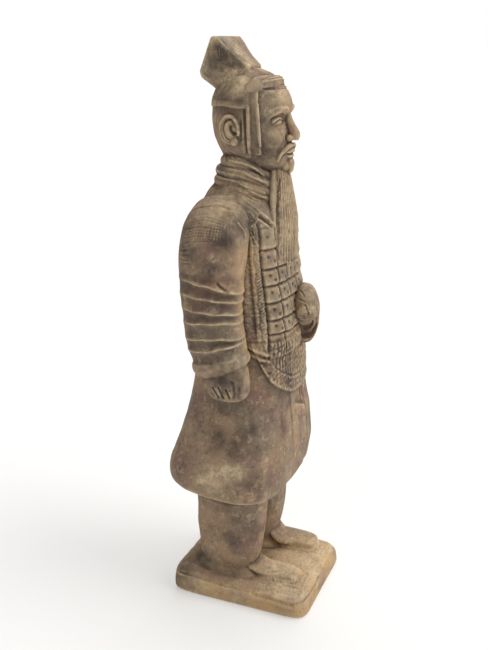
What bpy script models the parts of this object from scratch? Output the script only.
"""Moulded clay soldier standing on its own plinth, fired in one piece.

Sizes are in millimetres in the figure's own axes: it stands along z and faces -Y, so its right
side is -X. The finished solid is put down in metres with the plinth centred on the origin.
"""
from math import pi, radians

import bmesh
import bpy
import numpy as np
from mathutils import Matrix

# ---- driving sizes, mm ----
PLINTH_WIDTH = 113.0
PLINTH_DEPTH = 134.5
PLINTH_HEIGHT = 17.5
PLINTH_CLIMB = 0.028        # rise of the plinth's top, a millimetre of depth
PLINTH_WEAR = 0.17          # how far its right rim is worn back
FIGURE_AT = (5.0, 17.0, 2.0)
HEM_TILT = 0.09
HEM_CURVE = 0.0022
HEM_FADE = (165.0, 45.0)    # height where the hem's tilt starts, and the height it takes
FOLD_DEPTH = 3.1
ARMOUR_HALF = 41.5
ARMOUR_TOP = 350.0
ARMOUR_RISE = 1.2
PLATE_STEP = 1.3
APRON_RISE = 1.7
APRON_LOW = 196.5
APRON_BOW = 0.0079
APRON_MIDDLE = 8.0
FLUTES = 8
FLUTE_DEPTH = 2.2
TOP_SOFT = 1.4

# ---- making sizes ----
MM = 0.001
VOXEL = 1.9
TRIANGLES = 9400
FOOT_CUT = 0.6              # taken off the fused underside to leave it level
CUT_SIZE = 300.0
CUT_DEPTH = 20.0

ROBE = (
    (113, 0, 75.0, -47.5, 54.0, 3.4), (114.6, 0, 77.0, -50.6, 56.2, 3.4),
    (120, 0, 77.5, -52.5, 56.5, 3.3), (140, 0, 75.0, -55.8, 53.0, 3.2),
    (165, 0, 69.5, -55.0, 47.0, 3.1), (190, 0, 63.0, -51.5, 41.0, 3.0),
    (212, 0, 57.5, -50.5, 37.5, 2.9), (235, 0, 52.5, -50.5, 35.0, 2.9),
    (255, 0, 51.0, -50.0, 35.0, 3.0), (280, 0, 51.0, -47.5, 36.0, 3.0),
    (305, 0, 51.5, -43.6, 37.5, 3.0), (330, 0, 52.0, -40.8, 38.5, 2.9),
    (350, 0, 53.0, -40.0, 37.5, 2.6), (362, 0, 50.0, -38.0, 34.5, 2.3),
    (371, 0, 42.0, -35.0, 31.0, 2.1), (379, 0, 31.0, -30.5, 27.0, 2.1),
    (386, 0, 20.0, -24.0, 20.0, 2.0),
)
RIGHT_ARM = (
    (-26, 3, 363, 13, 21), (-42, 3.6, 357, 18, 27), (-53, 3.4, 347, 21.5, 28.4),
    (-60, 2.8, 335, 22.5, 28.6), (-63, 2.6, 320, 22, 27.8), (-64, 2.6, 300, 21, 26.6),
    (-64, 1.3, 275, 20.6, 25.8), (-63, -1.3, 255, 20, 25.2), (-62, -4, 240, 18.6, 23.8),
    (-61.5, -5, 233, 17.0, 21.0),
)
LEFT_ARM = (
    (26, 3, 363, 13, 21), (42, 3, 357, 18, 26), (53, 2.6, 347, 21.5, 27.4),
    (60, 1.8, 335, 22.5, 27.6), (63, 1.4, 318, 22, 27), (64, -0.5, 300, 21.5, 26.5),
    (63, -4, 278, 20.5, 26), (61, -9, 260, 19, 22), (59, -12, 250, 13, 15),
)
LEFT_FOREARM = (
    (61, -8, 261, 17, 17), (52, -24, 259, 19, 18), (41, -36, 260, 20, 16.5),
    (33, -42.5, 262, 20, 14.5), (24, -46.5, 264, 20, 12),
)
SKULL = (
    (380, 0, 17, -24, 15, 2.0), (390, 0, 18, -27, 14, 2.0), (394.5, 0, 15, -37, 13, 2.0),
    (397, 0, 17.5, -41, 13.5, 2.0), (402, 0, 21.5, -43, 15.5, 2.05), (409, 0, 25.2, -42, 18.5, 2.15),
    (416, 0, 27.8, -41.3, 21.5, 2.25), (424, 0, 29.6, -40.8, 24, 2.3), (431, 0, 30.4, -39.6, 25, 2.3),
    (437, 0, 30.6, -38.6, 25.5, 2.3), (443, 0, 30.4, -41.0, 25.5, 2.25), (450, 0, 30.2, -40.6, 25, 2.2),
    (458, 0, 28.8, -37.6, 22.5, 2.2), (466, 0, 24.8, -31.6, 18.5, 2.1), (472.5, 0, 17.5, -24, 13, 2.0),
    (476.5, 0, 8, -14, 5, 2.0),
)
# right sleeve folds: height of the crest behind and in front
FOLDS = ((312.4, 303.3), (300.2, 295.4), (288, 285.2), (276.2, 278), (261.8, 264.2), (251, 258.6))
# foot of each row of plates in the middle, and how much higher it is at the side
PLATE_ROWS = ((333, 1), (316.5, 1), (302, 1), (287.5, 1), (272.5, 1), (259.5, 2), (245, 3))
# rolls of the scarf: height behind, half width, reach behind and in front, drop in front, thickness
ROLLS = ((401.4, 21.4, 19.0, 26.5, 17, 5.2), (392.8, 24.6, 23.0, 28.5, 13.6, 4.9),
         (384.8, 27.0, 25.0, 30.5, 11.6, 4.4), (380.2, 28.4, 25.2, 31.4, 13.4, 4.2))
ROLL_AXIS_Y = -4.5
# each leg: centre, step forward or back, middle of the shoe, top of the shoe, half width of its footing
LEGS = ((-24.5, 0.8, -23.0, 21.4, 26), (27.5, 0.6, 33.0, 25.4, 20.5))


def through(ts, xs, ys):
    """Smooth curve through the rows ys at xs, without overshoot, read at ts."""
    xs, ys = np.asarray(xs, float), np.asarray(ys, float)
    h = np.diff(xs)[:, None]
    d = np.diff(ys, axis=0) / h
    m = np.vstack([d[:1], d[1:] * 0, d[-1:]])
    same = d[:-1] * d[1:] > 0
    w1, w2 = 2 * h[1:] + h[:-1], h[1:] + 2 * h[:-1]
    blend = w1 / np.where(same, d[:-1], 1) + w2 / np.where(same, d[1:], 1)
    m[1:-1] = np.where(same, (w1 + w2) / np.where(same, blend, 1), 0)
    ts = np.clip(ts, xs[0], xs[-1])
    k = np.clip(np.searchsorted(xs, ts) - 1, 0, len(xs) - 2)
    t = ((ts - xs[k]) / h[k, 0])[:, None]
    t2, t3 = t * t, t * t * t
    return ((2 * t3 - 3 * t2 + 1) * ys[k] + (t3 - 2 * t2 + t) * h[k] * m[k]
            + (3 * t2 - 2 * t3) * ys[k + 1] + (t3 - t2) * h[k] * m[k + 1])


def rise(v, low, high):
    """0 at low, 1 at high, smooth between."""
    t = np.clip((v - low) / (high - low), 0, 1)
    return t * t * (3 - 2 * t)


def oval(u, n):
    """Points round a squared oval of half size 1, and their outward direction."""
    c, s = np.cos(2 * pi * u), np.sin(2 * pi * u)
    r = (np.abs(c) ** n + np.abs(s) ** n) ** (-1 / n)
    c, s = c * r, s * r
    return c, s, np.sign(c) * np.abs(c) ** (n - 1), np.sign(s) * np.abs(s) ** (n - 1)


def add(bm, shell):
    """Turn a finished shell outwards and add it to the figure."""
    bmesh.ops.recalc_face_normals(shell, faces=shell.faces)
    me = bpy.data.meshes.new("shell")
    shell.to_mesh(me)
    shell.free()
    bm.from_mesh(me)
    bpy.data.meshes.remove(me)


def wrap(bm, around, along, place, ring=False):
    """A flat grid bent into a tube by place(u, v); its ends are capped, or joined as a ring."""
    shell = bmesh.new()
    made = bmesh.ops.create_grid(shell, x_segments=around, y_segments=along, size=0.5)["verts"]
    uv = np.array([v.co[:2] for v in made]) + 0.5
    for v, p in zip(made, place(uv[:, 0], uv[:, 1]).tolist()):
        v.co = p
    rim = np.minimum(uv, 1 - uv) < 1e-4
    seam = rim[:, 0] | rim[:, 1] if ring else rim[:, 0]
    bmesh.ops.remove_doubles(shell, verts=[v for v, on in zip(made, seam) if on], dist=1e-3)
    if not ring:
        bmesh.ops.holes_fill(shell, edges=[e for e in shell.edges if e.is_boundary], sides=0)
    add(bm, shell)


def stack(bm, rows, step=1.5, around=96, relief=None):
    """Level sections: z, middle x, half width, front y, back y, squareness."""
    rows = np.array(rows, float)

    def place(u, v):
        z = rows[0, 0] + (rows[-1, 0] - rows[0, 0]) * v
        cx, a, yf, yb, n = through(z, rows[:, 0], rows[:, 1:]).T
        c, s, gx, gy = oval(u, n)
        b = (yb - yf) / 2
        p = np.stack([cx + a * c, (yf + yb) / 2 + b * s, z], 1)
        if relief:
            out = np.stack([gx / a, gy / b, 0 * z], 1)
            p = p + out / np.linalg.norm(out, axis=1)[:, None] * relief(p)[:, None]
        return p

    wrap(bm, around, int((rows[-1, 0] - rows[0, 0]) / step) + 2, place)


def limb(bm, rows, step=1.5, around=48, side=(1, 0, 0), relief=None, square=2.2):
    """Sections along a path: x, y, z, half size along side, half size across."""
    rows = np.array(rows, float)
    s = np.concatenate([[0], np.cumsum(np.linalg.norm(np.diff(rows[:, :3], axis=0), axis=1))])
    side = np.array(side, float)

    def place(u, v):
        at = through(v * s[-1], s, rows)
        t = (through(np.clip(v + 0.004, 0, 1) * s[-1], s, rows)
             - through(np.clip(v - 0.004, 0, 1) * s[-1], s, rows))[:, :3]
        t /= np.linalg.norm(t, axis=1)[:, None]
        a = side - t * (t @ side)[:, None]
        a /= np.linalg.norm(a, axis=1)[:, None]
        c, d = oval(u, square)[:2]
        off = a * (c * at[:, 3])[:, None] + np.cross(t, a) * (d * at[:, 4])[:, None]
        p = at[:, :3] + off
        if relief:
            p = p + off / np.linalg.norm(off, axis=1)[:, None] * relief(p)[:, None]
        return p

    wrap(bm, around, max(4, int(s[-1] / step) + 2), place)


def hoop(bm, z0, width, back, front, drop, thick):
    """Closed roll round the neck, level behind and dipping by drop at the front."""
    def place(u, v):
        t, f = 2 * pi * v, 2 * pi * u
        out = np.where(np.sin(t) > 0, back, front) + thick * np.cos(f)
        side = width + thick * np.cos(f)
        return np.stack([side * np.cos(t), ROLL_AXIS_Y + out * np.sin(t),
                         z0 - drop * np.clip(-np.sin(t), 0, 1) ** 1.7 + thick * np.sin(f)], 1)

    wrap(bm, 20, 96, place, ring=True)


def ball(bm, centre, radii, turn=0.0):
    """Egg shape, turned about z by turn degrees."""
    shell = bmesh.new()
    place = Matrix.Translation(centre) @ Matrix.Rotation(radians(turn), 4, "Z") @ Matrix.Diagonal((*radii, 1))
    bmesh.ops.create_uvsphere(shell, u_segments=28, v_segments=16, radius=1, matrix=place)
    add(bm, shell)


def wedge(bm, corners, soft):
    """Flat-sided lump on its corners, its edges rounded."""
    shell = bmesh.new()
    bmesh.ops.convex_hull(shell, input=[shell.verts.new(c) for c in corners])
    bmesh.ops.dissolve_limit(shell, angle_limit=radians(4), verts=shell.verts, edges=shell.edges)
    bmesh.ops.bevel(shell, geom=list(shell.edges), offset=soft, segments=2, profile=0.5,
                    affect="EDGES", material=-1)
    add(bm, shell)


def robe_relief(p):
    """Armour stands proud of the robe and steps out row by row, with its apron below."""
    x, y, z = p.T
    feet = [middle + up * (x / 45) ** 2 for middle, up in PLATE_ROWS]
    out = np.zeros_like(x)
    for top, foot in zip([ARMOUR_TOP + 0 * x] + feet[:-1], feet):
        plate = ARMOUR_RISE + PLATE_STEP * (top - z) / (top - foot)
        out = np.where((z <= top) & (z > foot), plate, out)
    out *= np.abs(x) < ARMOUR_HALF
    apron = rise(z - APRON_LOW - APRON_BOW * (x - APRON_MIDDLE) ** 2, -1, 1) * (z < feet[-1])
    return (out + APRON_RISE * apron) * (y < 0)


def sleeve_relief(p):
    """Hollows between sharp crests round the sleeve."""
    t = np.clip((16 - p[:, 1]) / 37, -0.3, 1.25)
    z = p[:, 2]
    crests = [back + (front - back) * t for back, front in FOLDS]
    out = np.where(z >= crests[0], np.exp(-(z - crests[0]) / 4.5), 0.5)
    for high, low in zip(crests[:-1], crests[1:]):
        hollow = 1 - np.sin(pi * np.clip((high - z) / (high - low), 0, 1)) ** 0.7
        out = np.where((z < high) & (z >= low), hollow, out)
    return FOLD_DEPTH * (out - 0.5) * (1 - rise(z, 314, 324))


def shape_robe(bm):
    stack(bm, ROBE, 1.2, 180, robe_relief)
    start, height = HEM_FADE
    for v in bm.verts:
        fade = min(max((start - v.co.z) / height, 0), 1)
        v.co.z += (HEM_TILT * v.co.y + HEM_CURVE * max(v.co.y, 0) ** 2) * fade
    limb(bm, RIGHT_ARM, 1.2, 90, relief=sleeve_relief)
    limb(bm, LEFT_ARM, 1.2, 90, relief=sleeve_relief)
    limb(bm, LEFT_FOREARM, 1.2, 72, side=(0, 0, 1))


def shape_scarf(bm):
    stack(bm, ((362, 0, 26, -31, 22, 2), (378, 0, 26, -32, 21, 2), (396, 0, 24.5, -31, 18, 2),
               (404, 0, 21, -27, 15, 2)), 2, 64)
    for roll in ROLLS:
        hoop(bm, *roll)

    def pleats(u, v):
        face = u <= 0.84
        w = np.where(face, np.clip(u / 0.84, 0, 1) * 2 - 1, 1 - 2 * np.clip((u - 0.84) / 0.16, 0, 1))
        half = np.interp(v, (0, 0.12, 0.29, 0.42, 0.56, 1), (11.5, 14, 17.6, 20.4, 22.6, 23.8))
        crest = FLUTE_DEPTH * np.abs(np.sin(w * pi * FLUTES)) ** 0.7
        y = -37.2 - 7.2 * np.clip(v * 1.7, 0, 1) ** 0.8 + 5.0 * w ** 2 - crest
        return np.stack([w * half, np.where(face, y, -26.0), 398 - 78.5 * v], 1)

    wrap(bm, 200, 50, pleats)


def shape_hands(bm):
    """The hanging right fist with its cuff, and the left fist with its cuff and raised thumb."""
    limb(bm, ((-62, -3.6, 242, 21, 24.8), (-61.8, -4.6, 238.5, 21.6, 25.2), (-61.4, -5.4, 235, 20.4, 24.2)),
         1.2, 72)
    limb(bm, ((-63, -8, 246, 11, 15), (-65.5, -11, 236, 13.5, 17.5), (-67, -13, 225, 14.5, 18.5),
              (-66.5, -13.5, 216, 13.2, 18), (-65, -13.5, 211, 9.5, 14.5), (-64.5, -13.5, 209, 5, 10)),
         square=2.4)
    limb(bm, ((-60, -20, 240, 5.0, 5.0), (-66, -25, 233.5, 6.4, 5.8), (-70, -27.4, 226, 6.6, 5.8),
              (-71, -27.4, 218, 6.2, 5.4), (-69.5, -25, 212.6, 3.8, 3.6)), around=32)
    limb(bm, ((32, -45, 265.5, 17.5, 11.5), (29, -46.4, 266, 20, 13.4), (25.5, -48, 266, 20, 13.4),
              (22.5, -49, 266, 17, 11)), side=(0, 0, 1))
    limb(bm, ((2.6, -58, 264, 10, 5.5), (3.6, -57.6, 265, 18, 9.6), (6, -56.6, 266, 24, 12.2),
              (11, -55, 266.4, 27.2, 12.4), (17, -53, 265.6, 27, 12.2), (24, -50, 265, 21, 11)),
         1.2, 64, side=(0, 0, 1))
    ball(bm, (4.6, -56, 273.0), (3.6, 5.2, 4.8))
    limb(bm, ((26, -46, 284, 5, 6), (18, -50, 287.5, 5.2, 6), (11.5, -53, 286.5, 5.2, 6),
              (6.6, -55, 281.5, 4.6, 5.4), (4.6, -56, 276.5, 4, 4.8)), 1.2, 32, side=(0, 0, 1))


def shape_head(bm):
    stack(bm, SKULL, 1.2, 110)
    # nose, lips, chin and the tuft below the lip
    limb(bm, ((0, -37.6, 444, 3.0, 3.0), (0, -39.8, 437.5, 2.9, 3.0), (0, -42.8, 430, 3.3, 3.8),
              (0, -45.8, 423.4, 4.1, 4.3), (0, -45.2, 419.9, 4.0, 3.2)), 0.8, 28)
    ball(bm, (0, -39.4, 411.5), (10.5, 4.4, 8.0))
    ball(bm, (0, -42.2, 410.5), (7.8, 2.7, 2.3))
    ball(bm, (0, -41.8, 406.9), (6.6, 2.7, 2.5))
    ball(bm, (0, -39.3, 398.8), (8.6, 5.0, 6.0))
    for s in (-1, 1):
        ball(bm, (s * 4.1, -42.4, 421.6), (2.9, 3.4, 2.8))
        # brow, eye and moustache
        limb(bm, ((s * 4, -39.5, 444.6, 2.0, 1.6), (s * 12, -38.5, 446.4, 2.2, 1.8),
                  (s * 22, -32.4, 444, 1.8, 1.6)), 0.8, 20, side=(0, 0, 1))
        ball(bm, (s * 12.3, -33.5, 435.4), (7.6, 5.4, 4.6), s * 16)
        limb(bm, ((s * 0.6, -43.8, 415.6, 1.6, 1.7), (s * 5, -43.3, 415.2, 2.1, 2.2),
                  (s * 10, -40.6, 412.2, 2.1, 2.2), (s * 13.8, -37.2, 406.5, 1.6, 1.8),
                  (s * 14.4, -36.0, 402.5, 0.9, 1.0)), 0.8, 20, side=(0, 0, 1))
        # ear, and the strap of the cap in front of it
        ball(bm, (s * 30.4, 0.2, 429), (2.6, 8.2, 11.4), s * -12)
        limb(bm, [(s * x, y, z, out, across) for x, y, z, out, across in (
            (21.4, -17.5, 465.5, 2.2, 5.0), (27.4, -18.8, 457, 2.0, 4.8), (29.2, -19.8, 447, 1.8, 4.6),
            (29.3, -20.6, 434, 1.8, 4.6), (27.2, -21.2, 419, 1.6, 4.4), (24.0, -21.8, 409, 1.2, 3.6))],
             1.2, 32, square=3.2)
    # flat folded topknot, leaning back
    wedge(bm, [(s * w, y, z) for s in (-1, 1) for w, y, z in (
        (27, 18.2, 501.2), (27, 14.4, 502), (15, -10.4, 478.2), (14.5, -7, 467),
        (21.6, 31, 474.4), (21.4, 30, 469.5), (17, 14, 457), (26.2, 16.5, 489))], TOP_SOFT)
    # loaf of hair over the brow, and the puffed cap behind it
    limb(bm, ((-27.4, -13, 459, 1.6, 2.0), (-26.4, -16.4, 461.6, 4.4, 4.0), (-22.6, -20.6, 463.8, 6.6, 5.4),
              (-16, -24.4, 464.6, 7.0, 5.8), (-7, -27.8, 464.4, 7.0, 6.1), (6, -27.4, 464.0, 7.0, 6.1),
              (14, -23.2, 462.6, 6.0, 5.3), (20, -18.4, 460, 4.4, 4.2), (23, -15.5, 457, 2.4, 2.4)),
         1.2, 36, side=(0, 0, 1))
    ball(bm, (0, -7, 465), (26.5, 16, 10))
    for s in (-1, 1):
        ball(bm, (s * 18, -6, 463.5), (10.5, 11, 8.5))


def shape_legs(bm):
    for cx, cy, toe, top, foot in LEGS:
        stack(bm, [(z, cx, half, cy + fore, cy + aft, 2.5) for z, half, fore, aft in (
            (9, foot, -38, 38), (16, foot - 1, -34, 36), (18.6, min(foot, 21.6), -29.9, 33.6),
            (21.4, 19.2, -26, 30), (24.6, 18.2, -24, 28.6), (27, 18.8, -24.4, 29), (31, 19.9, -26, 30.4),
            (38, 20.8, -27.4, 31.4), (50, 21.8, -29.4, 33), (75, 22.5, -32.2, 34.2),
            (100, 23, -33, 35), (124, 23, -32.5, 35.5))], 1.5, 80)
        # shoe with a square toe, low on its sole; its top runs up into the trouser leg
        stack(bm, ((8, toe, 13.0, -64.6, 28, 4.6), (top - 2.6, toe, 13.0, -64.4, 28, 4.4),
                   (top - 0.9, toe, 12.3, -63.4, 28, 4.0), (top, toe, 10.6, -61, 28, 3.4)), 1, 80)
        stack(bm, ((8, toe, 14.4, -66.2, 28, 5.2), (17.3, toe, 14.4, -66.0, 28, 5.2),
                   (18.3, toe, 13.4, -64.8, 28, 4.8)), 1, 80)
        limb(bm, ((cx, -18, top + 13, 12, 3.6), (cx, -22.5, top + 7, 13, 4.6), (cx, -28, top + 1.2, 13, 4.8),
                  ((toe + cx) / 2, -36, top - 2.2, 12, 3.6), (toe, -46, top - 3.6, 11, 3.2)), 1.2, 48)


def shape_plinth(bm):
    """Squared slab with worn edges; its rim falls away along the right side and the front."""
    a, front, back = PLINTH_WIDTH / 2, -PLINTH_DEPTH / 2, PLINTH_DEPTH / 2
    ox, oy, oz = FIGURE_AT
    rows = [(z - oz, -ox, a - side, front + fore - oy, back - aft - oy, n) for z, side, fore, aft, n in (
        (0, 2.2, 2.2, 2.2, 11), (0.8, 0.8, 0.8, 0.8, 11), (2.6, 0, 0, 0, 11), (9, 0.3, 0.8, 0.3, 11),
        (PLINTH_HEIGHT - 4.8, 0.9, 2.2, 0.3, 11), (PLINTH_HEIGHT - 2.4, 1.8, 4.2, 0.8, 11),
        (PLINTH_HEIGHT - 0.9, 3.2, 6.2, 2.0, 11), (PLINTH_HEIGHT - 0.3, 6, 9, 5, 10))]
    first = len(bm.verts)
    stack(bm, rows, 1, 200)
    bm.verts.ensure_lookup_table()
    for v in bm.verts[first:]:
        v.co.z += PLINTH_CLIMB * (v.co.y - front + oy) * max(v.co.z + oz, 0) / PLINTH_HEIGHT
        worn = min(max((v.co.z - 10.5) / 5.5, 0), 1) * min(max((v.co.y + 100) / 60, 0.35), 1)
        if v.co.x < 0:
            v.co.x *= 1 - PLINTH_WEAR * worn


def settle(ob):
    """Make the modifiers' result the mesh, and leave none live."""
    dg = bpy.context.evaluated_depsgraph_get()
    me = bpy.data.meshes.new_from_object(ob.evaluated_get(dg), depsgraph=dg)
    ob.modifiers.clear()
    ob.data = me
    me.name = ob.name


def floor_cutter():
    """Block that takes a thin slice off the underside."""
    bm = bmesh.new()
    size = Matrix.Diagonal((CUT_SIZE * MM, CUT_SIZE * MM, CUT_DEPTH * MM, 1))
    place = Matrix.Translation((0, 0, (FOOT_CUT - CUT_DEPTH / 2) * MM))
    bmesh.ops.create_cube(bm, size=1, matrix=place @ size)
    me = bpy.data.meshes.new("floor_cut")
    bm.to_mesh(me)
    bm.free()
    cut = bpy.data.objects.new("floor_cut", me)
    cut.display_type = "WIRE"
    cut.hide_render = True
    cutters = bpy.data.collections.new("cutters")
    cutters.hide_render = True
    bpy.context.scene.collection.children.link(cutters)
    cutters.objects.link(cut)
    return cut


def keep_body(ob):
    """Put the solid down on z = 0, without loose crumbs, its faces outwards."""
    bm = bmesh.new()
    bm.from_mesh(ob.data)
    bmesh.ops.translate(bm, vec=(0, 0, -FOOT_CUT * MM), verts=bm.verts)
    bmesh.ops.triangulate(bm, faces=bm.faces)
    seen, groups = set(), []
    for v in bm.verts:
        if v in seen:
            continue
        seen.add(v)
        todo, group = [v], []
        while todo:
            group.append(todo.pop())
            fresh = [e.other_vert(group[-1]) for e in group[-1].link_edges]
            fresh = [w for w in fresh if w not in seen]
            seen.update(fresh)
            todo.extend(fresh)
        groups.append(group)
    groups.sort(key=len)
    for group in groups[:-1]:
        bmesh.ops.delete(bm, geom=group, context="VERTS")
    for v in bm.verts:
        v.co.z = max(v.co.z, 0.0)
    bmesh.ops.recalc_face_normals(bm, faces=bm.faces)
    bm.to_mesh(ob.data)
    bm.free()


def clay():
    mat = bpy.data.materials.new("fired_clay")
    mat.use_nodes = True
    shader = mat.node_tree.nodes.get("Principled BSDF")
    shader.inputs["Base Color"].default_value = (0.235, 0.168, 0.107, 1)
    shader.inputs["Roughness"].default_value = 0.9
    return mat


def main():
    for ob in list(bpy.data.objects):
        bpy.data.objects.remove(ob)
    coll = bpy.data.collections.new("terracotta_warrior_statue")
    bpy.context.scene.collection.children.link(coll)
    bm = bmesh.new()
    for shape in (shape_robe, shape_scarf, shape_hands, shape_head, shape_legs, shape_plinth):
        shape(bm)
    bmesh.ops.translate(bm, vec=FIGURE_AT, verts=bm.verts)
    bmesh.ops.scale(bm, vec=(MM, MM, MM), verts=bm.verts)
    me = bpy.data.meshes.new("warrior_statue")
    bm.to_mesh(me)
    bm.free()
    ob = bpy.data.objects.new("warrior_statue", me)
    coll.objects.link(ob)
    fuse = ob.modifiers.new("fuse", "REMESH")
    fuse.mode = "VOXEL"
    fuse.voxel_size = VOXEL * MM
    soft = ob.modifiers.new("soften", "SMOOTH")
    soft.factor = 0.5
    soft.iterations = 1
    settle(ob)
    thin = ob.modifiers.new("thin", "DECIMATE")
    thin.ratio = TRIANGLES / 2 / len(ob.data.polygons)
    thin.use_collapse_triangulate = True
    settle(ob)
    level = ob.modifiers.new("level_foot", "BOOLEAN")
    level.operation = "DIFFERENCE"
    level.solver = "EXACT"
    level.object = floor_cutter()
    settle(ob)
    keep_body(ob)
    ob.data.materials.clear()
    ob.data.materials.append(clay())


main()
